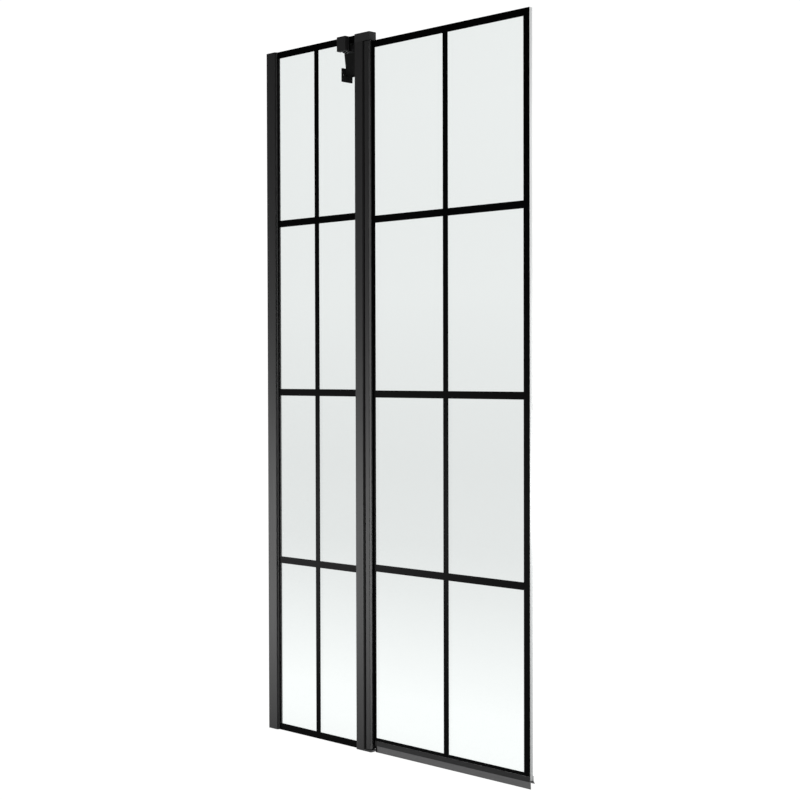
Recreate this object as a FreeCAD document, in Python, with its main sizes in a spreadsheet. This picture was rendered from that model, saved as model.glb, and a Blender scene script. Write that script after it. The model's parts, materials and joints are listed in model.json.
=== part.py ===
"""Bath screen: a fixed glass panel in a wall channel, a hinged glass door and a stay to the wall.

Lengths are millimetres. X runs from the wall along the screen, -Y faces the room, Z is up.
Y is zero at the middle of the glass, Z is zero at the bath rim.
"""
import FreeCAD
import Part
import Sketcher
import math
import os

# Driving sizes; what fits or lines up with another piece is worked out from these further down.
sizes = {
    # whole screen
    "screen_height": 1500,
    "screen_width": 750,
    "glass_thick": 8,
    "print_thick": 0.3,
    "edge_break": 0.6,
    # printed bars
    "upright_width": 14,
    "rail_width": 15,
    "wall_border": 8.7,
    "door_border": 11.5,
    "free_border": 15,
    # wall channel and the profile that slides in it
    "channel_reach": 27.5,
    "channel_wall": 1.8,
    "wall_hole_radius": 2.6,
    "wall_hole_end": 100,
    "insert_start": 5,
    "insert_length": 24.5,
    "insert_grip": 7.5,
    "insert_wall": 1.6,
    "insert_play": 0.3,
    "adjust_end": 150,
    "adjust_radius": 2,
    "adjust_tip": 2.3,
    "adjust_head_radius": 3.6,
    "adjust_head_height": 2.2,
    "adjust_crown": 1.1,
    # fixed pane and its edge rubbers
    "fixed_width": 270,
    "gasket_web": 2.2,
    "gasket_thick": 2.3,
    # hinge post
    "post_width": 22.6,
    "post_grip": 8.6,
    "post_front_wall": 6.8,
    "post_rear_wall": 2,
    "bead_front": 1.2,
    "bead_rear": 2,
    "chamber_wall": 2.5,
    "chamber_web": 1.3,
    "port_inset": 7.5,
    "port_radius": 1.7,
    "port_thread": 26,
    "port_head_radius": 3.5,
    "port_head_height": 2,
    "port_head_wall": 0.4,
    # screw drives
    "cross_width": 0.8,
    "cross_length": 3.4,
    "cross_depth": 1.2,
    "socket_radius": 2.2,
    "socket_depth": 1.4,
    # rubber wiper in the post
    "wiper_inset": 1.4,
    "wiper_groove_width": 2,
    "wiper_groove_depth": 2,
    "wiper_edge": 0.7,
    "wiper_root": 0.5,
    "wiper_tail": 2.6,
    "wiper_play": 0.4,
    # pivot cap, block, pins and bushes
    "cap_height": 17.5,
    "cap_over": 2.5,
    "block_height": 4,
    "glass_play": 0.2,
    "pin_radius": 2.5,
    "pin_play": 0.05,
    "pin_end_gap": 1.5,
    "cap_pin_roof": 5.5,
    "block_pin_floor": 0.8,
    "bush_reach": 4.75,
    "bush_height": 12,
    "flange_radius": 7,
    "flange_thick": 1,
    "flange_play": 0.5,
    # door stile
    "hinge_gap": 0.75,
    "nose_over": 1,
    "stile_flat": 6.75,
    "stile_floor": 4.75,
    # door pane
    "door_edge": 0.25,
    "door_lift": 10.5,
    "notch_play": 0.5,
    "notch_gap": 6,
    "bead_out": 0.8,
    # drip seal
    "seal_play": 1,
    "seal_over": 0.6,
    "seal_wall": 1.2,
    "seal_front_leg": 8.2,
    "seal_rear_leg": 8.5,
    "seal_web": 1.5,
    "blade_set": 3.6,
    "blade_root": 0.9,
    "blade_lean": 1,
    "blade_tip": 0.55,
    "blade_clear": 0.2,
    "fin_reach": 3.8,
    "fin_drop": 6.4,
    "fin_tip": 0.8,
    # stay clamp
    "clamp_offset": 36.8,
    "clamp_width": 26,
    "clamp_depth": 11.2,
    "clamp_screw_radius": 2.5,
    "clamp_screw_grip": 8,
    "clamp_screw_wall": 0.55,
    "clamp_head_radius": 4.25,
    "clamp_head_height": 5,
    "sleeve_wall": 2,
    "pad_thick": 1,
    "pad_inset": 0.5,
    "fork_web": 2,
    "fork_play": 0.5,
    "fork_lip": 3,
    "fork_shift": 4.5,
    # stay bar and wall plate
    "stay_drop": 15.5,
    "stay_width": 32,
    "stay_thick": 5,
    "stay_pin_radius": 3,
    "tongue_wall": 2.5,
    "taper_start": 2,
    "taper_end": 9.5,
    "pivot_head_lip": 2,
    "pivot_head_height": 2.4,
    "ear_reach": 19.2,
    "ear_thick": 2.4,
    "ear_wall": 3,
    "plate_offset": 238.2,
    "plate_size": 32,
    "plate_thick": 4.4,
    "plate_hole_radius": 2.15,
    "plate_hole_inset": 5,
}
pane_rows = 4
wall_hole_count = 4
adjust_count = 3

doc = FreeCAD.newDocument("BathScreen")
sheet = doc.addObject("Spreadsheet::Sheet", "Sizes")


class Size:
    """A number kept together with the spreadsheet expression that gives it."""

    def __init__(self, value, text):
        self.value = float(value)
        self.text = text

    def __add__(self, other):
        other = as_size(other)
        return Size(self.value + other.value, f"({self.text} + {other.text})")

    def __radd__(self, other):
        return as_size(other) + self

    def __sub__(self, other):
        other = as_size(other)
        return Size(self.value - other.value, f"({self.text} - {other.text})")

    def __rsub__(self, other):
        return as_size(other) - self

    def __mul__(self, other):
        other = as_size(other)
        return Size(self.value * other.value, f"({self.text} * {other.text})")

    def __rmul__(self, other):
        return as_size(other) * self

    def __truediv__(self, other):
        other = as_size(other)
        return Size(self.value / other.value, f"({self.text} / {other.text})")

    def __neg__(self):
        return Size(-self.value, f"(0 - {self.text})")


def as_size(number):
    if isinstance(number, Size):
        return number
    return Size(number, f"({number})")


def root(size):
    return Size(math.sqrt(size.value), f"sqrt({size.text})")


class Table:
    """Writes the sizes into the spreadsheet and hands them out as bound values."""

    def __init__(self, values):
        for row, (name, value) in enumerate(values.items(), start=1):
            sheet.set(f"A{row}", name)
            sheet.set(f"B{row}", str(value))
            sheet.setAlias(f"B{row}", name)
            setattr(self, name, Size(value, f"Sizes.{name}"))


d = Table(sizes)
zero = Size(0, "0")
past = d.edge_break  # how far a cutting shape runs past the surface that it opens
top = d.screen_height
half_glass = d.glass_thick / 2
print_face = -half_glass - d.print_thick

# Along the screen, from the wall to the door
insert_end = d.insert_start + d.insert_length
insert_web = d.insert_start + d.insert_wall
fixed_left = insert_end - d.insert_grip
fixed_right = fixed_left + d.fixed_width
post_left = fixed_right - d.post_grip
post_right = post_left + d.post_width

# Through the post and the stile, from the room to the bath
slot_front = half_glass + d.bead_front
slot_rear = half_glass + d.bead_rear
post_front = slot_front + d.post_front_wall
post_rear = slot_rear + d.post_rear_wall
half_depth = (post_front + post_rear) / 2

# Hinge axis, door stile and bushes
nose_radius = half_depth + d.nose_over
axis_x = post_right + d.hinge_gap + nose_radius
axis_y = (post_rear - post_front) / 2
axis = (axis_x, axis_y)
stile_right = axis_x + d.stile_flat
stile_floor = axis_x - d.stile_floor
stile_gap = d.flange_thick + d.flange_play
stile_bottom = d.block_height + stile_gap
stile_top = top - d.cap_height - stile_gap
bush_right = axis_x + d.bush_reach
upper_bush = (stile_top - d.bush_height, stile_top)
lower_bush = (stile_bottom, stile_bottom + d.bush_height)

# Door pane
door_left = axis_x - d.door_edge
door_bottom = stile_bottom + d.door_lift
notch_right = bush_right + d.notch_play

# Stay and the clamp that holds it, from the top down
clamp_x = post_left - d.clamp_offset
stay_low = top - d.stay_drop - d.stay_thick / 2
stay_high = stay_low + d.stay_thick
pivot_low = stay_low - d.ear_thick
pivot_high = stay_high + d.ear_thick
clamp_screw_z = pivot_low - d.clamp_screw_wall - d.clamp_head_radius
clamp_bottom = clamp_screw_z - d.clamp_head_radius - d.clamp_screw_wall
clamp_spot = (clamp_x, clamp_screw_z)
sleeve_radius = d.clamp_screw_radius + d.sleeve_wall
front_seat = print_face - d.pad_thick
rear_seat = half_glass + d.pad_thick
tongue_radius = d.stay_pin_radius + d.tongue_wall
pivot_head_radius = d.stay_pin_radius + d.pivot_head_lip
fork_floor = rear_seat + d.fork_web
stay_pin_y = fork_floor + d.fork_play + tongue_radius
clamp_rear = stay_pin_y + pivot_head_radius + d.fork_lip


def bind(item, path, size):
    item.setExpression(path, as_size(size).text)


def box(name, x, y, z):
    """A block between two limits on each axis."""
    item = doc.addObject("Part::Box", name)
    for side, axis, (low, high) in (("Length", "x", x), ("Width", "y", y), ("Height", "z", z)):
        bind(item, side, as_size(high) - as_size(low))
        bind(item, f"Placement.Base.{axis}", low)
    return item


def rod(name, axis, centre, limits, radius):
    """A round rod along an axis; centre gives the other two coordinates in row order."""
    item = doc.addObject("Part::Cylinder", name)
    low, high = (as_size(v) for v in limits)
    bind(item, "Radius", radius)
    bind(item, "Height", high - low)
    place_along(item, axis, centre, low)
    return item


def taper(name, axis, centre, limits, radius_low, radius_high):
    item = doc.addObject("Part::Cone", name)
    low, high = (as_size(v) for v in limits)
    bind(item, "Radius1", radius_low)
    bind(item, "Radius2", radius_high)
    bind(item, "Height", high - low)
    place_along(item, axis, centre, low)
    return item


def place_along(item, axis, centre, low):
    turns = {"x": ((0, 1, 0), 90), "y": ((1, 0, 0), -90), "z": ((0, 0, 1), 0)}
    direction, angle = turns[axis]
    item.Placement = FreeCAD.Placement(FreeCAD.Vector(), FreeCAD.Rotation(FreeCAD.Vector(*direction), angle))
    others = [letter for letter in "xyz" if letter != axis]
    bind(item, f"Placement.Base.{axis}", low)
    for letter, value in zip(others, centre):
        bind(item, f"Placement.Base.{letter}", value)


def joined(name, pieces):
    item = doc.addObject("Part::MultiFuse", name)
    item.Shapes = pieces
    item.Refine = True
    return item


def grouped(name, pieces):
    item = doc.addObject("Part::Compound", name)
    item.Links = pieces
    return item


def shared(name, first, second):
    item = doc.addObject("Part::Common", name)
    item.Base = first
    item.Tool = second
    return item


def cut(name, base, tools):
    item = doc.addObject("Part::Cut", name)
    item.Base = base
    item.Tool = tools[0] if len(tools) == 1 else joined(name + "_voids", tools)
    item.Refine = True
    return item


def add_loop(sketch, corners):
    """Draws a closed polygon and ties every corner to the sketch origin."""
    first = sketch.GeometryCount
    count = len(corners)
    spots = [FreeCAD.Vector(a.value, b.value, 0) for a, b in corners]
    for index in range(count):
        sketch.addGeometry(Part.LineSegment(spots[index], spots[(index + 1) % count]), False)
    for index in range(count):
        following = first + (index + 1) % count
        sketch.addConstraint(Sketcher.Constraint("Coincident", first + index, 2, following, 1))
    for index, (a, b) in enumerate(corners):
        for kind, size in (("DistanceX", a), ("DistanceY", b)):
            number = sketch.addConstraint(Sketcher.Constraint(kind, -1, 1, first + index, 1, size.value))
            bind(sketch, f"Constraints[{number}]", size)


def add_circle(sketch, a, b, radius):
    centre = FreeCAD.Vector(a.value, b.value, 0)
    circle = sketch.addGeometry(Part.Circle(centre, FreeCAD.Vector(0, 0, 1), radius.value), False)
    number = sketch.addConstraint(Sketcher.Constraint("Radius", circle, radius.value))
    bind(sketch, f"Constraints[{number}]", radius)
    for kind, size in (("DistanceX", a), ("DistanceY", b)):
        number = sketch.addConstraint(Sketcher.Constraint(kind, -1, 1, circle, 3, size.value))
        bind(sketch, f"Constraints[{number}]", size)


def extruded(name, plane, corners, start, length, loops=(), circles=()):
    """A body padded from a closed outline on an origin plane, with inner loops left open."""
    body = doc.addObject("PartDesign::Body", name)
    sketch = body.newObject("Sketcher::SketchObject", name + "_outline")
    origin = [item for item in body.Origin.OriginFeatures if item.Role == plane][0]
    sketch.AttachmentSupport = (origin, [""])
    sketch.MapMode = "FlatFace"
    bind(sketch, "AttachmentOffset.Base.z", start)
    for loop in [corners, *loops]:
        add_loop(sketch, [(as_size(a), as_size(b)) for a, b in loop])
    for a, b, radius in circles:
        add_circle(sketch, as_size(a), as_size(b), as_size(radius))
    pad = body.newObject("PartDesign::Pad", name + "_pad")
    pad.Profile = sketch
    bind(pad, "Length", length)
    return body


def rectangle(low, high):
    return [(low[0], low[1]), (high[0], low[1]), (high[0], high[1]), (low[0], high[1])]


def cross_drive(name, axis, spot, face):
    """Two crossed slots to cut into the face of a screw that lies along an axis."""
    across = [letter for letter in "xyz" if letter != axis]
    sink = (face - d.cross_depth, face + d.cross_depth)
    tools = []
    for label, long_side in zip(("first", "second"), across):
        spans = {axis: sink}
        for letter, middle in zip(across, spot):
            half = (d.cross_length if letter == long_side else d.cross_width) / 2
            spans[letter] = (middle - half, middle + half)
        tools.append(box(f"{name}_{label}_slot", spans["x"], spans["y"], spans["z"]))
    return tools


def key_socket(name, plane, spot, start):
    """A six-sided block to cut into the face of a screw."""
    long_half = d.socket_radius
    short_half = d.socket_radius / 2
    flat_half = d.socket_radius * root(as_size(0.75))
    a, b = spot
    corners = [
        (a + long_half, b), (a + short_half, b + flat_half), (a - short_half, b + flat_half),
        (a - long_half, b), (a - short_half, b - flat_half), (a + short_half, b - flat_half),
    ]
    return extruded(name, plane, corners, start, d.socket_depth + past)


nodes = {}


def keep(name, item):
    item.Label = name
    nodes[name] = item


# Wall channel: an open U screwed to the wall, with holes for the fixing and the adjusting screws.
inner_insert = half_glass + d.gasket_thick
half_insert = inner_insert + d.insert_wall
inner_channel = half_insert + d.insert_play
half_channel = inner_channel + d.channel_wall


def u_section(back, floor, mouth, inner, outer):
    """Plan of an open U with its mouth along X and one broken front edge."""
    return [
        (back, -outer), (mouth - d.edge_break, -outer), (mouth, -outer + d.edge_break),
        (mouth, -inner), (floor, -inner), (floor, inner), (mouth, inner), (mouth, outer), (back, outer),
    ]


channel_outline = u_section(zero, d.channel_wall, d.channel_reach, inner_channel, half_channel)
channel = extruded("channel", "XY_Plane", channel_outline, zero, top)
channel_holes = []
wall_hole_pitch = (top - d.wall_hole_end * 2) / (wall_hole_count - 1)
for number in range(wall_hole_count):
    spot = (zero, d.wall_hole_end + wall_hole_pitch * number)
    limits = (-past, d.channel_wall + past)
    channel_holes.append(rod(f"wall_hole_{number}", "x", spot, limits, d.wall_hole_radius))

# Panel profile: slides in the channel to take up an uneven wall and carries the fixed glass.
insert_outline = u_section(d.insert_start, insert_web, insert_end, inner_insert, half_insert)
insert = extruded("insert", "XY_Plane", insert_outline, zero, top)
insert_holes = []
adjust_screws = []
adjust_x = (insert_web + fixed_left - d.gasket_web) / 2
adjust_pitch = (top - d.adjust_end * 2) / (adjust_count - 1)
adjust_crown = d.adjust_head_radius - d.adjust_crown
for number in range(adjust_count):
    spot = (adjust_x, d.adjust_end + adjust_pitch * number)
    channel_limits = (inner_channel - past, half_channel + past)
    channel_holes.append(rod(f"channel_adjust_{number}", "y", spot, channel_limits, d.adjust_radius))
    insert_limits = (inner_insert - past, half_insert + past)
    insert_holes.append(rod(f"insert_adjust_{number}", "y", spot, insert_limits, d.adjust_radius))
    shank_limits = (inner_insert - d.adjust_tip, half_channel)
    shank = rod(f"adjust_shank_{number}", "y", spot, shank_limits, d.adjust_radius)
    head_limits = (half_channel, half_channel + d.adjust_head_height)
    head = taper(f"adjust_head_{number}", "y", spot, head_limits, d.adjust_head_radius, adjust_crown)
    screw = joined(f"adjust_screw_{number}", [shank, head])
    drive = cross_drive(f"adjust_drive_{number}", "y", spot, head_limits[1])
    adjust_screws.append(cut(f"adjust_driven_{number}", screw, drive))
keep("wall_channel", cut("channel_drilled", channel, channel_holes))
keep("panel_profile", cut("insert_drilled", insert, insert_holes))
keep("adjust_screws", grouped("adjust_screw_set", adjust_screws))

# Fixed glass with its hole for the stay clamp, its printed grid and the two edge gaskets.
pane = box("fixed_pane", (fixed_left, fixed_right), (-half_glass, half_glass), (zero, top))
through_glass = (-half_glass - past, half_glass + past)
pane_hole = rod("fixed_pane_hole", "y", clamp_spot, through_glass, sleeve_radius)
keep("fixed_glass", cut("fixed_pane_drilled", pane, [pane_hole]))


def windows(left_columns, bottom, rise):
    """Outlines of the clear panes between the printed bars."""
    loops = []
    height = (rise - d.rail_width * (pane_rows + 1)) / pane_rows
    for row in range(pane_rows):
        low = bottom + d.rail_width + (height + d.rail_width) * row
        for left, right in left_columns:
            loops.append(rectangle((left, low), (right, low + height)))
    return loops


fixed_middle = (fixed_left + fixed_right) / 2
half_upright = d.upright_width / 2
fixed_columns = [
    (fixed_left + d.wall_border, fixed_middle - half_upright),
    (fixed_middle + half_upright, fixed_right - d.upright_width),
]
fixed_print = rectangle((fixed_left, zero), (fixed_right, top))
keep("fixed_grid", extruded("fixed_print", "XZ_Plane", fixed_print, half_glass, d.print_thick,
                            windows(fixed_columns, zero, top)))

wall_bead = [
    (fixed_left - d.gasket_web, -inner_insert), (insert_end, -inner_insert),
    (insert_end, print_face), (fixed_left, print_face),
    (fixed_left, half_glass), (insert_end, half_glass),
    (insert_end, inner_insert), (fixed_left - d.gasket_web, inner_insert),
]
keep("fixed_wall_gasket", extruded("wall_gasket", "XY_Plane", wall_bead, zero, top))

# Hinge post: a hollow upright that grips the fixed glass and ends under the two pivot pieces.
post_length = top - d.cap_height - d.block_height
post_slot_end = fixed_right + d.gasket_web
groove_floor = post_right - d.wiper_groove_depth
groove_front = -post_front + d.wiper_inset
groove_rear = groove_front + d.wiper_groove_width
post_outline = [
    (post_left, -post_front), (post_right - d.edge_break, -post_front),
    (post_right, -post_front + d.edge_break), (post_right, groove_front),
    (groove_floor, groove_front), (groove_floor, groove_rear),
    (post_right, groove_rear), (post_right, post_rear),
    (post_left, post_rear), (post_left, slot_rear),
    (post_slot_end, slot_rear), (post_slot_end, -slot_front), (post_left, -slot_front),
]
port_x = post_right - d.port_inset
port_cover = d.port_head_radius + d.port_head_wall
port_y = {"front": -post_front + port_cover, "rear": post_rear - port_cover}
chamber_low = (post_slot_end + d.chamber_wall, port_y["front"] + d.port_radius + d.chamber_web)
chamber_high = (groove_floor - d.chamber_wall, port_y["rear"] - d.port_radius - d.chamber_web)
chamber = rectangle(chamber_low, chamber_high)
ports = [(port_x, y, d.port_radius) for y in port_y.values()]
keep("fixed_post", extruded("post", "XY_Plane", post_outline, d.block_height, post_length, [chamber], ports))

post_bead = [
    (post_left, -slot_front), (post_slot_end, -slot_front),
    (post_slot_end, slot_rear), (post_left, slot_rear),
    (post_left, half_glass), (fixed_right, half_glass),
    (fixed_right, print_face), (post_left, print_face),
]
keep("fixed_post_gasket", extruded("post_gasket", "XY_Plane", post_bead, d.block_height, post_length))

# The wiper stays just outside the circle that the stile's far corner draws as the door swings.
swing = root(d.stile_flat * d.stile_flat + half_depth * half_depth) + d.wiper_play
lip_depth = half_depth - d.wiper_edge
lip_x = axis_x - root(swing * swing - lip_depth * lip_depth)
shoulder = half_depth + d.wiper_play
shoulder_y = axis_y - root(swing * swing - shoulder * shoulder)
lip_front = -post_front + d.wiper_edge
tail_y = groove_rear + d.wiper_tail
wiper = [
    (groove_floor, groove_front), (post_right, groove_front), (post_right, lip_front),
    (lip_x, lip_front), (axis_x - shoulder, shoulder_y), (post_right + d.wiper_root, tail_y),
    (post_right, tail_y), (post_right, groove_rear), (groove_floor, groove_rear),
]
keep("hinge_wiper", extruded("wiper", "XY_Plane", wiper, d.block_height, post_length))

# Pivot pieces: a cap on top of the post and a block under it, each holding one pin.
cap_bottom = top - d.cap_height
cap_right = stile_right + d.cap_over


def pivot_piece(name, low, high, bore, heads):
    """A plate over the post and the stile end, slotted for the glass and bored for pin and screws."""
    outline = [
        (post_left, -post_front), (cap_right - d.edge_break, -post_front),
        (cap_right, -post_front + d.edge_break), (cap_right, post_rear), (post_left, post_rear),
    ]
    plate = extruded(name + "_plate", "XY_Plane", outline, low, high - low)
    slot_x = (post_left - past, fixed_right + d.glass_play)
    slot_y = (print_face - d.glass_play, half_glass + d.glass_play)
    through = (low - past, high + past)
    voids = [box(name + "_glass_slot", slot_x, slot_y, through)]
    voids.append(rod(name + "_pin_bore", "z", axis, bore, d.pin_radius))
    for label, y in port_y.items():
        voids.append(rod(f"{name}_{label}_bore", "z", (port_x, y), through, d.port_radius))
        voids.append(taper(f"{name}_{label}_sink", "z", (port_x, y), *heads))
    return cut(name + "_bored", plate, voids)


def port_screws(name, heads, shank, face):
    screws = []
    for label, y in port_y.items():
        stem = rod(f"{name}_{label}_stem", "z", (port_x, y), shank, d.port_radius)
        head = taper(f"{name}_{label}_head", "z", (port_x, y), *heads)
        screw = joined(f"{name}_{label}", [stem, head])
        drive = cross_drive(f"{name}_{label}_drive", "z", (port_x, y), face)
        screws.append(cut(f"{name}_{label}_driven", screw, drive))
    return grouped(name, screws)


top_heads = ((top - d.port_head_height, top), d.port_radius, d.port_head_radius)
top_shank = (cap_bottom - d.port_thread, top - d.port_head_height)
top_pin = (upper_bush[0] + d.pin_end_gap, top - d.cap_pin_roof)
keep("top_pivot_cap", pivot_piece("cap", cap_bottom, top, top_pin, top_heads))
keep("top_cap_screws", port_screws("cap_screws", top_heads, top_shank, top))
keep("top_pivot_pin", rod("cap_pin", "z", axis, top_pin, d.pin_radius))

foot_heads = ((zero, d.port_head_height), d.port_head_radius, d.port_radius)
foot_shank = (d.port_head_height, d.block_height + d.port_thread)
foot_pin = (d.block_pin_floor, lower_bush[1] - d.pin_end_gap)
keep("bottom_pivot_block", pivot_piece("foot", zero, d.block_height, foot_pin, foot_heads))
keep("bottom_block_screws", port_screws("foot_screws", foot_heads, foot_shank, zero))
keep("bottom_pivot_pin", rod("foot_pin", "z", axis, foot_pin, d.pin_radius))

# Door stile: round on the hinge side so that it turns past the post, slotted for the glass.
stile_span = (stile_bottom, stile_top)
stile_depth = (-post_front, post_rear)
nose_limit = box("stile_nose_limit", (axis_x - nose_radius, axis_x), stile_depth, stile_span)
nose = shared("stile_nose", rod("stile_round", "z", axis, stile_span, nose_radius), nose_limit)
flat_outline = [
    (axis_x, -post_front), (stile_right - d.edge_break, -post_front),
    (stile_right, -post_front + d.edge_break), (stile_right, post_rear), (axis_x, post_rear),
]
flat = extruded("stile_flat", "XY_Plane", flat_outline, stile_bottom, stile_top - stile_bottom)
slot_depth = (-slot_front, slot_rear)
stile_void = box("stile_slot_void", (stile_floor, stile_right + past), slot_depth,
                 (stile_bottom - past, stile_top + past))
keep("door_stile", cut("stile_slotted", joined("stile_solid", [nose, flat]), [stile_void]))


def bush(name, span, flange):
    """A nylon plug in the end of the stile slot with a running bore for the pin."""
    plug = box(name + "_plug", (stile_floor, bush_right), slot_depth, span)
    rim = rod(name + "_flange", "z", axis, flange, d.flange_radius)
    through = (span[0] - d.flange_thick - past, span[1] + d.flange_thick + past)
    bore = rod(name + "_bore", "z", axis, through, d.pin_radius + d.pin_play)
    return cut(name, joined(name + "_solid", [plug, rim]), [bore])


keep("top_pivot_bush", bush("upper_bush", upper_bush, (stile_top, stile_top + d.flange_thick)))
keep("bottom_pivot_bush", bush("lower_bush", lower_bush, (stile_bottom - d.flange_thick, stile_bottom)))

# Door glass with notched hinge corners, printed grid, edge gasket and drip seal.
door_rise = stile_top - door_bottom
notch_low = lower_bush[1] + d.notch_gap
notch_high = upper_bush[0] - d.notch_gap
door_outline = [
    (notch_right, door_bottom), (d.screen_width, door_bottom),
    (d.screen_width, stile_top), (notch_right, stile_top),
    (notch_right, notch_high), (door_left, notch_high),
    (door_left, notch_low), (notch_right, notch_low),
]
keep("door_glass", extruded("door_pane", "XZ_Plane", door_outline, -half_glass, d.glass_thick))

door_middle = (door_left + d.screen_width) / 2
door_columns = [
    (stile_right + d.door_border, door_middle - half_upright),
    (door_middle + half_upright, d.screen_width - d.free_border),
]
door_print = rectangle((notch_right, door_bottom), (d.screen_width, stile_top))
keep("door_grid", extruded("door_print", "XZ_Plane", door_print, half_glass, d.print_thick,
                           windows(door_columns, door_bottom, door_rise)))

bead_face = stile_right + d.bead_out
inner_span = (lower_bush[1], upper_bush[0])
door_span = (door_bottom, stile_top)
front_gap = (-slot_front, print_face)
rear_gap = (half_glass, slot_rear)
door_bead = [
    box("bead_web", (stile_floor, door_left), slot_depth, inner_span),
    box("bead_front", (door_left, bead_face), front_gap, inner_span),
    box("bead_rear", (door_left, bead_face), rear_gap, inner_span),
    box("bead_front_lip", (notch_right, bead_face), front_gap, door_span),
    box("bead_rear_lip", (notch_right, bead_face), rear_gap, door_span),
]
keep("door_gasket", joined("door_bead", door_bead))

seal_front = print_face - d.seal_wall
seal_rear = half_glass + d.seal_wall
seal_under = door_bottom - d.seal_web
blade_end = d.blade_lean - d.blade_set
seal_outline = [
    (seal_front, door_bottom + d.seal_front_leg), (print_face, door_bottom + d.seal_front_leg),
    (print_face, door_bottom), (half_glass, door_bottom),
    (half_glass, door_bottom + d.seal_rear_leg), (seal_rear, door_bottom + d.seal_rear_leg),
    (seal_rear, door_bottom), (seal_rear + d.fin_reach, door_bottom - d.fin_drop),
    (seal_rear + d.fin_reach, door_bottom - d.fin_drop - d.fin_tip), (half_glass, seal_under),
    (d.blade_root - d.blade_set, seal_under), (blade_end + d.blade_tip, d.blade_clear),
    (blade_end - d.blade_tip, d.blade_clear), (-d.blade_root - d.blade_set, seal_under),
    (seal_front, seal_under),
]
block_reach = cap_right - axis_x
block_swing = root(block_reach * block_reach + half_depth * half_depth)
seal_left = axis_x + block_swing + d.seal_play  # clear of the pivot block as the door turns
seal_length = d.screen_width + d.seal_over - seal_left
keep("drip_seal", extruded("seal", "YZ_Plane", seal_outline, seal_left, seal_length))

# Stay clamp: a front and a rear block bolted through the fixed glass with pads and a sleeve.
clamp_left = clamp_x - d.clamp_width / 2
clamp_right = clamp_x + d.clamp_width / 2
clamp_span = (clamp_bottom, top)
clamp_front = front_seat - d.clamp_depth
block_outline = [
    (clamp_left, front_seat), (clamp_left, clamp_front + d.edge_break),
    (clamp_left + d.edge_break, clamp_front), (clamp_right - d.edge_break, clamp_front),
    (clamp_right, clamp_front + d.edge_break), (clamp_right, front_seat),
]
front_block = extruded("front_block", "XY_Plane", block_outline, clamp_bottom, top - clamp_bottom)
screw_tip = front_seat - d.clamp_screw_grip
front_tap = rod("front_tap", "y", clamp_spot, (screw_tip, front_seat + past), d.clamp_screw_radius)
keep("stay_front_block", cut("front_block_tapped", front_block, [front_tap]))


def pad(name, y):
    pad_x = (clamp_left + d.pad_inset, clamp_right - d.pad_inset)
    pad_z = (clamp_bottom + d.pad_inset, top - d.pad_inset)
    piece = box(name + "_sheet", pad_x, y, pad_z)
    bore = rod(name + "_bore", "y", clamp_spot, (y[0] - past, y[1] + past), d.clamp_screw_radius)
    return cut(name, piece, [bore])


keep("stay_front_pad", pad("front_pad", (front_seat, print_face)))
keep("stay_rear_pad", pad("rear_pad", (half_glass, rear_seat)))

sleeve = rod("sleeve_solid", "y", clamp_spot, (-half_glass, half_glass), sleeve_radius)
sleeve_bore = rod("sleeve_bore", "y", clamp_spot, through_glass, d.clamp_screw_radius)
keep("stay_glass_sleeve", cut("sleeve", sleeve, [sleeve_bore]))

stay_pin_x = clamp_x + d.fork_shift
clamp_pivot = (stay_pin_x, stay_pin_y)
head_seat = clamp_rear - d.clamp_head_height
behind = clamp_rear + past
rear_voids = [
    box("fork_slot", (clamp_left - past, clamp_right + past), (fork_floor, behind), (stay_low, stay_high)),
    rod("rear_screw_bore", "y", clamp_spot, (rear_seat - past, behind), d.clamp_screw_radius),
    rod("rear_head_bore", "y", clamp_spot, (head_seat, behind), d.clamp_head_radius),
    rod("rear_pivot_bore", "z", clamp_pivot, (pivot_low, top + past), d.stay_pin_radius),
    rod("rear_pivot_sink", "z", clamp_pivot, (pivot_high, top + past), pivot_head_radius),
]
rear_solid = box("rear_block", (clamp_left, clamp_right), (rear_seat, clamp_rear), clamp_span)
keep("stay_rear_block", cut("rear_block_cut", rear_solid, rear_voids))

clamp_stem = rod("clamp_stem", "y", clamp_spot, (screw_tip, head_seat), d.clamp_screw_radius)
clamp_head = rod("clamp_head", "y", clamp_spot, (head_seat, clamp_rear), d.clamp_head_radius)
clamp_screw = joined("clamp_screw", [clamp_stem, clamp_head])
clamp_drive = key_socket("clamp_drive", "XZ_Plane", clamp_spot, -behind)
keep("stay_clamp_screw", cut("clamp_screw_driven", clamp_screw, [clamp_drive]))

# Stay: a flat bar between the screen and the wall, pinned to the clamp and to the wall plate.
stay_wall_x = d.plate_thick + d.ear_reach
wall_pivot_y = d.plate_offset
wall_pivot = (stay_wall_x, wall_pivot_y)
half_stay = d.stay_width / 2
stay_x = stay_pin_x - stay_wall_x
stay_y = wall_pivot_y - stay_pin_y
run = root(stay_x * stay_x + stay_y * stay_y)


def on_stay(along, across):
    """A plan point at a distance along the bar from the clamp pin and across its centre line."""
    x = stay_pin_x - stay_x / run * along + stay_y / run * across
    y = stay_pin_y + stay_y / run * along + stay_x / run * across
    return (x, y)


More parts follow.
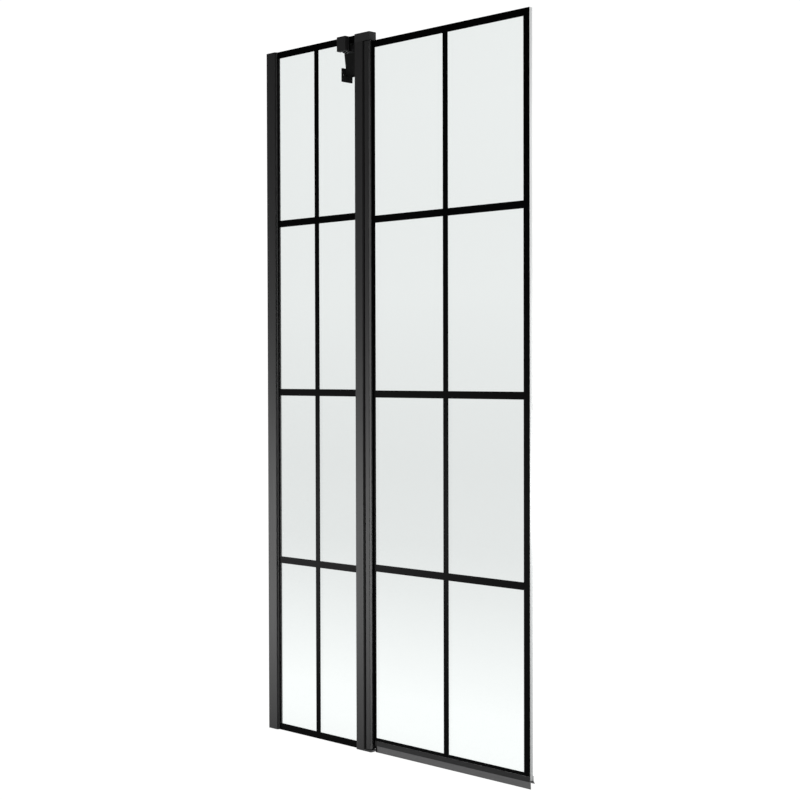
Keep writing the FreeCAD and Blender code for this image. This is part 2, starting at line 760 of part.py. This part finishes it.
side = [
    (zero, tongue_radius), (d.taper_start, tongue_radius), (d.taper_end, half_stay),
    (run - d.taper_end, half_stay), (run - d.taper_start, tongue_radius), (run, tongue_radius),
]
stay_outline = [on_stay(a, b) for a, b in side]
stay_outline += [on_stay(a, -b) for a, b in reversed(side)]
stay_limits = (stay_low, stay_high)
stay_solid = joined("stay_solid", [
    extruded("stay_flat", "XY_Plane", stay_outline, stay_low, d.stay_thick),
    rod("stay_clamp_end", "z", clamp_pivot, stay_limits, tongue_radius),
    rod("stay_wall_end", "z", wall_pivot, stay_limits, tongue_radius),
])
through_stay = (stay_low - past, stay_high + past)
stay_bores = [
    rod("stay_clamp_bore", "z", clamp_pivot, through_stay, d.stay_pin_radius),
    rod("stay_wall_bore", "z", wall_pivot, through_stay, d.stay_pin_radius),
]
keep("stay_bar", cut("stay_bored", stay_solid, stay_bores))

pivot_screws = []
head_limits = (pivot_high, pivot_high + d.pivot_head_height)
for label, spot in (("clamp", clamp_pivot), ("wall", wall_pivot)):
    stem = rod(f"stay_{label}_stem", "z", spot, (pivot_low, pivot_high), d.stay_pin_radius)
    head = rod(f"stay_{label}_head", "z", spot, head_limits, pivot_head_radius)
    screw = joined(f"stay_{label}_screw", [stem, head])
    drive = key_socket(f"stay_{label}_drive", "XY_Plane", spot, head_limits[1] - d.socket_depth)
    pivot_screws.append(cut(f"stay_{label}_driven", screw, [drive]))
keep("stay_pivot_screws", grouped("stay_screw_set", pivot_screws))

half_plate = d.plate_size / 2
plate_y = (wall_pivot_y - half_plate, wall_pivot_y + half_plate)
plate_middle = top - d.stay_drop
ear_radius = d.stay_pin_radius + d.ear_wall
ear_y = (wall_pivot_y - ear_radius, wall_pivot_y + ear_radius)
plate_pieces = [box("plate_flat", (zero, d.plate_thick), plate_y, (plate_middle - d.stay_drop, top))]
for label, limits in (("low", (pivot_low, stay_low)), ("high", (stay_high, pivot_high))):
    plate_pieces.append(box(f"plate_{label}_ear", (zero, stay_wall_x), ear_y, limits))
    plate_pieces.append(rod(f"plate_{label}_eye", "z", wall_pivot, limits, ear_radius))
through_ears = (pivot_low - past, pivot_high + past)
plate_voids = [rod("plate_pivot_bore", "z", wall_pivot, through_ears, d.stay_pin_radius)]
hole_offset = half_plate - d.plate_hole_inset
for label, offset in (("front", -hole_offset), ("rear", hole_offset)):
    spot = (wall_pivot_y + offset, plate_middle)
    limits = (-past, d.plate_thick + past)
    plate_voids.append(rod(f"plate_{label}_hole", "x", spot, limits, d.plate_hole_radius))
keep("stay_wall_plate", cut("plate_bored", joined("plate_solid", plate_pieces), plate_voids))

doc.recompute()
for item in doc.Objects:
    if "Invalid" in item.State or "Error" in item.State:
        raise RuntimeError(f"{item.Name} did not build")
for name, item in nodes.items():
    if item.Shape.isNull() or not item.Shape.isValid() or not item.Shape.Solids:
        raise RuntimeError(f"{name} has no valid solid")
os.makedirs("parts", exist_ok=True)
for name, item in nodes.items():
    print(f"{name:22s} solids {len(item.Shape.Solids)} volume {item.Shape.Volume:12.1f}")
    item.Shape.exportStep(f"parts/{name}.step")
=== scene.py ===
import bmesh
import bpy
import json
import math
from mathutils import Matrix, Vector


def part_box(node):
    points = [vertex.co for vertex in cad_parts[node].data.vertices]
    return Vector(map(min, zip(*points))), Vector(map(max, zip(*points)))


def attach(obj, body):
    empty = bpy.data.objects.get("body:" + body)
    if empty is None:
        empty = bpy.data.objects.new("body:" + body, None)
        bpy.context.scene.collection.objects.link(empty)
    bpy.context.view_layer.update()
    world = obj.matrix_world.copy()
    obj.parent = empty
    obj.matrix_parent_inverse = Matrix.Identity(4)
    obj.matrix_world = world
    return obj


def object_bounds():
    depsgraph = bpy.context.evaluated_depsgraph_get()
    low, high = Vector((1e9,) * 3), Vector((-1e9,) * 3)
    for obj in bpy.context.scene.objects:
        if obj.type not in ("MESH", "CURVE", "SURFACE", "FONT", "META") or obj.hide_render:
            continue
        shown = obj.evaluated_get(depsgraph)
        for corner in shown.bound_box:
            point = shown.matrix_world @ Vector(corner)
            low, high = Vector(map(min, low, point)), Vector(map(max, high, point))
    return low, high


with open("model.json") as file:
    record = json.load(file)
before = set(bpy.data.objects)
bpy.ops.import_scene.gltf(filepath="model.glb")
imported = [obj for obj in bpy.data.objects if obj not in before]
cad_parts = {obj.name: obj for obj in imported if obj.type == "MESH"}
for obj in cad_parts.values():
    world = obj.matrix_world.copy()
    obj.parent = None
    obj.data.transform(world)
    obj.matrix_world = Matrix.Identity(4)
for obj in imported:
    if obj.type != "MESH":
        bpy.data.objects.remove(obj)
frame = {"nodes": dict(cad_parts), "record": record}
nodes = frame["nodes"]
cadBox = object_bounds()


# Shader maths: a socket that can be used in an expression

class Sock:
    def __init__(self, tree, socket):
        self.tree = tree
        self.socket = socket

    def __add__(self, other):
        return self.tree.math("ADD", self, other)

    def __radd__(self, other):
        return self.tree.math("ADD", other, self)

    def __sub__(self, other):
        return self.tree.math("SUBTRACT", self, other)

    def __rsub__(self, other):
        return self.tree.math("SUBTRACT", other, self)

    def __mul__(self, other):
        return self.tree.math("MULTIPLY", self, other)

    def __rmul__(self, other):
        return self.tree.math("MULTIPLY", other, self)

    def __truediv__(self, other):
        return self.tree.math("DIVIDE", self, other)

    def __rtruediv__(self, other):
        return self.tree.math("DIVIDE", other, self)


class Tree:
    def __init__(self, nodeTree):
        self.nodeTree = nodeTree
        nodeTree.nodes.clear()

    # the one way a node is made: settings first, then its sockets' values or links
    def node(self, kind, settings=None, inputs=None, output=0):
        made = self.nodeTree.nodes.new(kind)
        for name, value in (settings or {}).items():
            if name == "stops":
                self.setStops(made.color_ramp, value)
            else:
                setattr(made, name, value)
        for key, value in (inputs or {}).items():
            if isinstance(value, Sock):
                self.nodeTree.links.new(value.socket, made.inputs[key])
            else:
                made.inputs[key].default_value = value
        return Sock(self, made.outputs[output]) if made.outputs else None

    def setStops(self, ramp, stops):
        while len(ramp.elements) < len(stops):
            ramp.elements.new(0.5)
        for element, (place, colour) in zip(ramp.elements, stops):
            element.position = place
            element.color = (*colour, 1)

    def math(self, operation, first, second):
        return self.node("ShaderNodeMath", {"operation": operation}, {0: first, 1: second})

    def clamp(self, value):
        return self.node("ShaderNodeClamp", None, {0: value})

    def axis(self, vector, letter):
        return self.node("ShaderNodeSeparateXYZ", None, {0: vector}, output=letter)

    def ramp(self, value, stops):
        return self.node("ShaderNodeValToRGB", {"stops": stops}, {0: value})

    def noise(self, place, scale, detail=2.0):
        return self.node("ShaderNodeTexNoise", None, {"Vector": place, "Scale": scale, "Detail": detail})

    # noise drawn out along the axis with the smallest factor
    def streaks(self, place, factors, detail=2.0):
        drawn = self.node("ShaderNodeVectorMath", {"operation": "MULTIPLY"}, {0: place, 1: factors})
        return self.noise(drawn, 1.0, detail)

    def share(self, first, second, part):
        return first * part + second * (1 - part)

    def tint(self, mask, low, high):
        ends = [end if isinstance(end, Sock) else (*end, 1) for end in (low, high)]
        return self.node("ShaderNodeMix", {"data_type": "RGBA"},
                         {"Factor": mask, "A": ends[0], "B": ends[1]}, output=2)

    def roughness(self, mask, finish):
        return mask * finish["spread"] + (finish["rough"] - finish["spread"] / 2)

    def bump(self, height, finish):
        return self.node("ShaderNodeBump", None,
                         {"Height": height, "Strength": finish["bump"], "Distance": finish["relief"]})


def surface(name, build):
    material = bpy.data.materials.new(name)
    material.use_nodes = True
    tree = Tree(material.node_tree)
    place = tree.node("ShaderNodeTexCoord", None, None, output="Object")
    shader = tree.node("ShaderNodeBsdfPrincipled", None, build(tree, place))
    tree.node("ShaderNodeOutputMaterial", None, {"Surface": shader})
    return material


# Finishes
# gloss: specular level, rough and spread: roughness and how far it varies
# relief and bump: depth of the grain in metres and how strongly it shows

profileFinish = {"dark": (0.0050, 0.0050, 0.0053), "pale": (0.0080, 0.0080, 0.0084),
                 "cloud": 9.0, "cloudShare": 0.6, "speckle": 2600, "speckleShare": 0.5,
                 "dieLines": (900, 900, 3), "rough": 0.42, "spread": 0.20, "relief": 0.00003, "bump": 0.25}


def satinProfile(tree, place):
    f = profileFinish
    lines = tree.streaks(place, f["dieLines"])
    mottle = tree.share(tree.noise(place, f["speckle"]), lines, f["speckleShare"])
    cloud = tree.share(tree.noise(place, f["cloud"]), lines, f["cloudShare"])
    return {"Base Color": tree.tint(cloud, f["dark"], f["pale"]),
            "Roughness": tree.roughness(mottle, f), "Normal": tree.bump(mottle, f)}


castFinish = {"dark": (0.0095, 0.0095, 0.0100), "pale": (0.0140, 0.0140, 0.0145), "gloss": 0.5,
              "cloud": 40.0, "grain": 1800, "detail": 4.0,
              "rough": 0.42, "spread": 0.16, "relief": 0.00005, "bump": 0.35}
# the stay's paint is a darker copy of the coating: painted shade
stayFinishWithPaintedShade = {"dark": (0.0022, 0.0022, 0.0023), "pale": (0.0042, 0.0042, 0.0044), "gloss": 0.02,
              "cloud": 30.0, "grain": 1500, "detail": 3.0,
              "rough": 0.46, "spread": 0.14, "relief": 0.00004, "bump": 0.3}
printFinish = {"dark": (0.0003, 0.0003, 0.0004), "pale": (0.0008, 0.0008, 0.0009), "gloss": 0.036,
               "cloud": 14.0, "grain": 3000, "detail": 2.0,
               "rough": 0.32, "spread": 0.12, "relief": 0.00002, "bump": 0.2}


def blackCoat(f):
    def build(tree, place):
        grain = tree.noise(place, f["grain"], f["detail"])
        cloud = tree.noise(place, f["cloud"])
        return {"Base Color": tree.tint(cloud, f["dark"], f["pale"]), "Specular IOR Level": f["gloss"],
                "Roughness": tree.roughness(grain, f), "Normal": tree.bump(grain, f)}

    return build


# painted light: how pale a pane and its ground edge are painted at each height, in metres, and the colour
# that this scales
def paintedLightStops(f):
    return [(level / f["height"], [pale * part for part in f["tone"]]) for level, pale in f["stops"]]


# painted light: the panes' colour is paler towards the bottom and greyer higher up
glassFinishAndPaintedLight = {"height": 1.5, "tone": (0.965, 1.0, 0.991),
               "stops": [(0.12, 0.995), (0.247, 0.898), (0.35, 0.823), (0.443, 0.778),
                         (0.60, 0.765), (0.72, 0.780), (0.94, 0.864), (1.33, 0.896)],
               "smear": (26, 26, 7), "detail": 3.0, "haze": 0.004, "ior": 1.5,
               "wave": 5.0, "waveDetail": 1.0, "relief": 0.0004, "bump": 0.06}


def clearGlass(tree, place):
    f = glassFinishAndPaintedLight
    height = tree.axis(place, "Z") / f["height"]
    smear = tree.streaks(place, f["smear"], f["detail"])
    wave = tree.noise(place, f["wave"], f["waveDetail"])
    return {"Base Color": tree.ramp(height, paintedLightStops(f)), "Roughness": smear * f["haze"],
            "IOR": f["ior"], "Transmission Weight": 1.0, "Normal": tree.bump(wave, f)}


# painted light: brighter at the top and darker lower down, streaked by the grinding, which makes the heights
# stray a little
edgeFinishAndPaintedLight = {"height": 1.5, "tone": (0.98, 1.0, 0.995),
              "stops": [(0.10, 0.57), (0.50, 0.54), (0.75, 0.43), (0.95, 0.50), (1.25, 0.94)],
              "grind": (40, 1800, 40), "detail": 3.0, "stray": 0.04,
              "rough": 0.42, "spread": 0.2, "relief": 0.00003, "bump": 0.25}


def groundGlass(tree, place):
    f = edgeFinishAndPaintedLight
    grind = tree.streaks(place, f["grind"], f["detail"])
    streaked = tree.axis(place, "Z") / f["height"] + grind * f["stray"] - f["stray"] / 2
    return {"Base Color": tree.ramp(streaked, paintedLightStops(f)),
            "Roughness": tree.roughness(grind, f), "Normal": tree.bump(grind, f)}


rubberFinish = {"dark": (0.0045, 0.0045, 0.0047), "pale": (0.0085, 0.0085, 0.0088), "gloss": 0.12,
                "grain": 1200, "detail": 3.0, "dieLines": (700, 700, 4), "toneShare": 0.5, "reliefShare": 0.4,
                "rough": 0.6, "spread": 0.2, "relief": 0.00006, "bump": 0.3}


def sealRubber(tree, place):
    f = rubberFinish
    grain = tree.noise(place, f["grain"], f["detail"])
    lines = tree.streaks(place, f["dieLines"])
    return {"Base Color": tree.tint(tree.share(grain, lines, f["toneShare"]), f["dark"], f["pale"]),
            "Specular IOR Level": f["gloss"], "Roughness": tree.roughness(grain, f),
            "Normal": tree.bump(tree.share(grain, lines, f["reliefShare"]), f)}


# a hard clip above and a paler soft blade below the split, with painted shade, black, over the hinge end, in
# metres
vinylFinish = {"clip": (0.019, 0.019, 0.0194), "blade": (0.160, 0.160, 0.161), "plug": (0.002, 0.002, 0.002),
               "split": 0.0142, "plugLength": 0.0042, "fade": 0.0006, "streak": 0.25, "gloss": 0.22,
               "grain": 900, "detail": 3.0, "dieLines": (4, 700, 700), "reliefShare": 0.3,
               "rough": 0.42, "spread": 0.12, "relief": 0.00005, "bump": 0.3}


def dripVinyl(tree, place):
    f = vinylFinish
    grain = tree.noise(place, f["grain"], f["detail"])
    lines = tree.streaks(place, f["dieLines"])
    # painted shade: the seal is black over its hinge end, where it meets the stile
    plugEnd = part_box("drip_seal")[0].x + f["plugLength"]
    soft = tree.clamp((f["split"] - tree.axis(place, "Z")) / f["fade"])
    pastEndShade = tree.clamp((tree.axis(place, "X") - plugEnd) / f["fade"])
    streaky = soft * (1 - f["streak"] + lines * f["streak"])
    strip = tree.tint(streaky, f["clip"], f["blade"])
    return {"Base Color": tree.tint(pastEndShade, f["plug"], strip), "Specular IOR Level": f["gloss"],
            "Roughness": tree.roughness(grain, f),
            "Normal": tree.bump(tree.share(grain, lines, f["reliefShare"]), f)}


nylonFinish = {"dark": (0.0030, 0.0030, 0.0032), "pale": (0.0060, 0.0060, 0.0063), "gloss": 0.12,
               "grain": 1600, "detail": 3.0, "rough": 0.5, "spread": 0.2, "relief": 0.00004, "bump": 0.25}


def mouldedNylon(tree, place):
    f = nylonFinish
    grain = tree.noise(place, f["grain"], f["detail"])
    return {"Base Color": tree.tint(grain, f["dark"], f["pale"]), "Specular IOR Level": f["gloss"],
            "Roughness": tree.roughness(grain, f), "Normal": tree.bump(grain, f)}


steelFinish = {"dark": (0.42, 0.42, 0.43), "pale": (0.60, 0.60, 0.61), "turning": (300, 300, 5000),
               "rough": 0.28, "spread": 0.2, "relief": 0.00002, "bump": 0.2}


def turnedSteel(tree, place):
    f = steelFinish
    turning = tree.streaks(place, f["turning"])
    return {"Base Color": tree.tint(turning, f["dark"], f["pale"]), "Metallic": 1.0,
            "Roughness": tree.roughness(turning, f), "Normal": tree.bump(turning, f)}


finishes = {
    "black_profile": surface("satinProfile", satinProfile),
    "black_casting": surface("coatedCasting", blackCoat(castFinish)),
    "black_steel": surface("stayPaintWithPaintedShade", blackCoat(stayFinishWithPaintedShade)),
    "black_print": surface("firedPrint", blackCoat(printFinish)),
    "clear_glass": surface("clearGlass", clearGlass),
    "black_rubber": surface("sealRubber", sealRubber),
    "seal_vinyl": surface("dripVinyl", dripVinyl),
    "nylon": surface("mouldedNylon", mouldedNylon),
    "steel": surface("turnedSteel", turnedSteel),
}
groundEdge = surface("groundGlass", groundGlass)
for part in frame["record"]["subparts"]:
    piece = nodes[part["node"]]
    piece.data.materials.clear()
    piece.data.materials.append(finishes[part["material_slot"]])

# the clamp's rear half and the stay's screws take the stay's paint, darkened as painted shade, its front half
# as the profiles, and the cap's screws are blackened like the cap
repainted = {"stay_rear_block": "black_steel", "stay_clamp_screw": "black_steel",
             "stay_pivot_screws": "black_steel", "stay_front_block": "black_profile",
             "top_cap_screws": "black_casting"}
for name, finish in repainted.items():
    nodes[name].data.materials[0] = finishes[finish]

# clear panes, the thin print on them and the soft seal let the lamps through
panes = ("fixed_glass", "door_glass")
for name in (*panes, "fixed_grid", "door_grid", "drip_seal"):
    nodes[name].visible_shadow = False


# Ground edges: a thin pencil-round strip along each pane edge that shows

edgeStrip = {"swell": 0.00015, "seat": 0.00002, "steps": 8}


def groundStrip(name, body, path, outward, half):
    mesh = bpy.data.meshes.new(name)
    shape = bmesh.new()
    rings = []
    for spot, out in zip(path, outward):
        ring = []
        for step in range(edgeStrip["steps"] + 1):
            angle = math.pi * step / edgeStrip["steps"]
            swell = edgeStrip["seat"] + edgeStrip["swell"] * math.sin(angle)
            corner = Vector((spot[0] + out[0] * swell, half * math.cos(angle), spot[1] + out[1] * swell))
            ring.append(shape.verts.new(corner))
        rings.append(ring)
    for first, second in zip(rings, rings[1:]):
        count = len(first)
        for step in range(count):
            following = (step + 1) % count
            shape.faces.new((first[step], first[following], second[following], second[step]))
    shape.faces.new(rings[0])
    shape.faces.new(rings[-1])
    bmesh.ops.recalc_face_normals(shape, faces=shape.faces)
    for face in shape.faces:
        face.smooth = len(face.verts) == 4  # the two ends stay flat
    shape.to_mesh(mesh)
    shape.free()
    mesh.materials.append(groundEdge)
    strip = bpy.data.objects.new(name, mesh)
    bpy.context.scene.collection.objects.link(strip)
    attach(strip, body)


doorLow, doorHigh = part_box("door_glass")
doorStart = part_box("door_gasket")[1].x
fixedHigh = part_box("fixed_glass")[1]
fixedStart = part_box("panel_profile")[1].x
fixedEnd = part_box("fixed_post")[0].x
groundStrip("doorEdgeStrip", "door",
            [(doorHigh.x, doorLow.z), (doorHigh.x, doorHigh.z), (doorStart, doorHigh.z)],
            [(1, 0), (1, 1), (0, 1)], doorHigh.y)
groundStrip("fixedEdgeStrip", "frame", [(fixedStart, fixedHigh.z), (fixedEnd, fixedHigh.z)],
            [(0, 1), (0, 1)], fixedHigh.y)
print("pane edges ground")


# Edges that catch the light: every hard edge of the metal pieces is eased a little, in metres

easing = {"profiles": 0.00025, "castings": 0.00045, "segments": 2, "angle": 35, "weld": 0.000002}
eased = {
    "wall_channel": "profiles", "panel_profile": "profiles",
    "fixed_post": "profiles", "door_stile": "profiles",
    "top_pivot_cap": "castings", "bottom_pivot_block": "castings", "stay_front_block": "castings",
    "stay_rear_block": "castings", "stay_bar": "castings", "stay_wall_plate": "castings",
}


def easeEdges():
    for name, kind in eased.items():
        weld = nodes[name].modifiers.new("weld", "WELD")
        weld.merge_threshold = easing["weld"]
        bevel = nodes[name].modifiers.new("ease", "BEVEL")
        bevel.width = easing[kind]
        bevel.segments = easing["segments"]
        bevel.limit_method = "ANGLE"
        bevel.angle_limit = math.radians(easing["angle"])


easeEdges()
print("edges eased on", len(eased), "nodes")


# Studio
# mirrorStops: how bright the backdrop is in reflections, by the height of the ray, up to mirrorSpan
# behind: the share of it that reflections see behind the screen, turn: how soon it gets there

studio = {"white": (1.0, 1.0, 1.0), "black": (0.0, 0.0, 0.0), "glow": 1.05, "fill": 0.75,
          "floorSize": 60.0, "floorTone": (0.9, 0.9, 0.9), "floorGlow": 1.10,
          "floorShadow": 0.12, "floorMirror": 0.70, "behind": 0.05, "turn": 0.4, "mirrorSpan": 0.25,
          "mirrorStops": [(-0.02, 0.70), (0.01, 0.45), (0.04, 0.25), (0.10, 0.07), (0.20, 0.02)]}


# rays that look at the backdrop, also through a pane, and rays that come by way of a reflection
def viewRays(tree):
    def ray(kind):
        return tree.node("ShaderNodeLightPath", None, None, output=kind)

    straight = tree.math("LESS_THAN", ray("Glossy Depth"), 0.5)  # no reflection on the way
    seen = tree.math("MAXIMUM", ray("Is Camera Ray"), ray("Is Transmission Ray")) * straight
    return seen, ray("Is Glossy Ray")


# one in front of the screen, half of that in its plane, falling to the dim part behind it
def frontSide(tree, depth):
    front = tree.clamp(0.5 - depth / studio["turn"])
    return front * (1 - studio["behind"]) + studio["behind"]


# white to the eye and through the panes, dim in reflections, a soft fill for everything else
def makeWorld():
    world = bpy.data.worlds.new("studio")
    world.use_nodes = True
    tree = Tree(world.node_tree)
    seen, mirrored = viewRays(tree)
    span = studio["mirrorSpan"]
    stops = [((level + span) / (2 * span), (glow,) * 3) for level, glow in studio["mirrorStops"]]
    direction = tree.node("ShaderNodeTexCoord", None, None, output="Generated")
    backdrop = tree.ramp((tree.axis(direction, "Z") + span) / (2 * span), stops)
    dim = backdrop * frontSide(tree, tree.axis(direction, "Y"))
    strength = seen * studio["glow"] + (1 - seen) * (mirrored * dim + (1 - mirrored) * studio["fill"])
    tree.node("ShaderNodeOutputWorld", None,
              {"Surface": tree.node("ShaderNodeBackground", None,
                                    {"Color": (*studio["white"], 1), "Strength": strength})})
    bpy.context.scene.world = world


def makeFloor():
    half = studio["floorSize"] / 2
    level = cadBox[0].z
    mesh = bpy.data.meshes.new("floor")
    corners = [(-half, -half, level), (half, -half, level), (half, half, level), (-half, half, level)]
    mesh.from_pydata(corners, [], [(0, 1, 2, 3)])
    floor = bpy.data.objects.new("floor", mesh)
    bpy.context.scene.collection.objects.link(floor)
    material = bpy.data.materials.new("paleFloor")
    material.use_nodes = True
    tree = Tree(material.node_tree)
    seen, mirrored = viewRays(tree)
    place = tree.node("ShaderNodeTexCoord", None, None, output="Object")
    front = frontSide(tree, tree.axis(place, "Y"))
    matt = tree.node("ShaderNodeBsdfDiffuse", None, {"Color": (*studio["floorTone"], 1)})
    dim = tree.tint(front * studio["floorMirror"], studio["black"], studio["white"])
    bright = [part * studio["floorGlow"] for part in studio["white"]]
    glow = tree.node("ShaderNodeEmission", None, {"Color": tree.tint(seen, dim, bright)})
    unshaded = tree.math("MAXIMUM", seen, mirrored) * (1 - studio["floorShadow"])
    mixed = tree.node("ShaderNodeMixShader", None, {0: unshaded, 1: matt, 2: glow})
    tree.node("ShaderNodeOutputMaterial", None, {"Surface": mixed})
    mesh.materials.append(material)


# skips: pieces that a lamp leaves out
paneEdges = ("doorEdgeStrip", "fixedEdgeStrip")
shaded = ("stay_front_block", "bottom_pivot_bush")
lamps = {
    "key": {"at": (-2.8, -2.7, 0.08), "aim": (0.15, 0.0, 0.4), "size": (1.4, 0.12), "power": 23},
    "low": {"at": (-0.73, -0.81, 0.05), "aim": (0.15, 0.0, 0.25), "size": (0.5, 0.06), "power": 0.6},
    "side": {"at": (1.18, 0.85, 0.70), "aim": (0.32, 0.0, 0.70), "size": (0.35, 1.36), "power": 17,
             "skips": shaded},
    "top": {"at": (0.30, 0.20, 3.2), "aim": (0.30, 0.10, 0.0), "size": (1.2, 1.2), "power": 60,
            "skips": paneEdges},
    "back": {"at": (-0.90, 2.60, 1.90), "aim": (0.25, 0.05, 1.30), "size": (1.2, 1.2), "power": 60,
             "skips": paneEdges},
    "lowSide": {"at": (1.18, 0.85, 0.20), "aim": (0.32, 0.0, 0.20), "size": (0.35, 0.36), "power": 7,
                "skips": shaded},
}


def makeLamps():
    for name, lamp in lamps.items():
        data = bpy.data.lights.new(name, "AREA")
        data.shape = "RECTANGLE"
        data.size, data.size_y = lamp["size"]
        data.energy = lamp["power"]
        holder = bpy.data.objects.new(name, data)
        holder.location = lamp["at"]
        holder.rotation_mode = "QUATERNION"
        holder.rotation_quaternion = (Vector(lamp["aim"]) - Vector(lamp["at"])).to_track_quat("-Z", "Y")
        bpy.context.scene.collection.objects.link(holder)
        # the panes don't mirror the lamps, and the floor has no bright patch under them
        skips = bpy.data.collections.new(name + "Skips")
        for piece in (*panes, "floor", *lamp.get("skips", ())):
            skips.objects.link(nodes.get(piece) or bpy.data.objects[piece])
        for skipped in skips.collection_objects:
            skipped.light_linking.link_state = "EXCLUDE"
        holder.light_linking.receiver_collection = skips


# fitted to the bars and profiles of the photograph: angles in degrees, lens and sensor width in millimetres
camera = {"at": (2.6227, -2.2648, 0.7944), "yaw": 44.433, "pitch": -1.043, "roll": -0.14,
          "lens": 69.63, "sensor": 36.0}


def makeCamera():
    yaw, pitch, roll = (math.radians(camera[key]) for key in ("yaw", "pitch", "roll"))
    ahead = Vector((-math.sin(yaw) * math.cos(pitch), math.cos(yaw) * math.cos(pitch), math.sin(pitch)))
    right = ahead.cross(Vector((0, 0, 1))).normalized()
    up = right.cross(ahead)
    right, up = right * math.cos(roll) + up * math.sin(roll), up * math.cos(roll) - right * math.sin(roll)
    data = bpy.data.cameras.new("camera")
    data.sensor_width = camera["sensor"]
    data.lens = camera["lens"]
    eye = bpy.data.objects.new("camera", data)
    turn = Matrix((right, up, -ahead)).transposed().to_4x4()
    eye.matrix_world = Matrix.Translation(camera["at"]) @ turn
    bpy.context.scene.collection.objects.link(eye)
    bpy.context.scene.camera = eye


makeWorld()
makeFloor()
makeLamps()
makeCamera()
bpy.context.scene.view_settings.view_transform = "Standard"
print("studio, lamps and camera made")
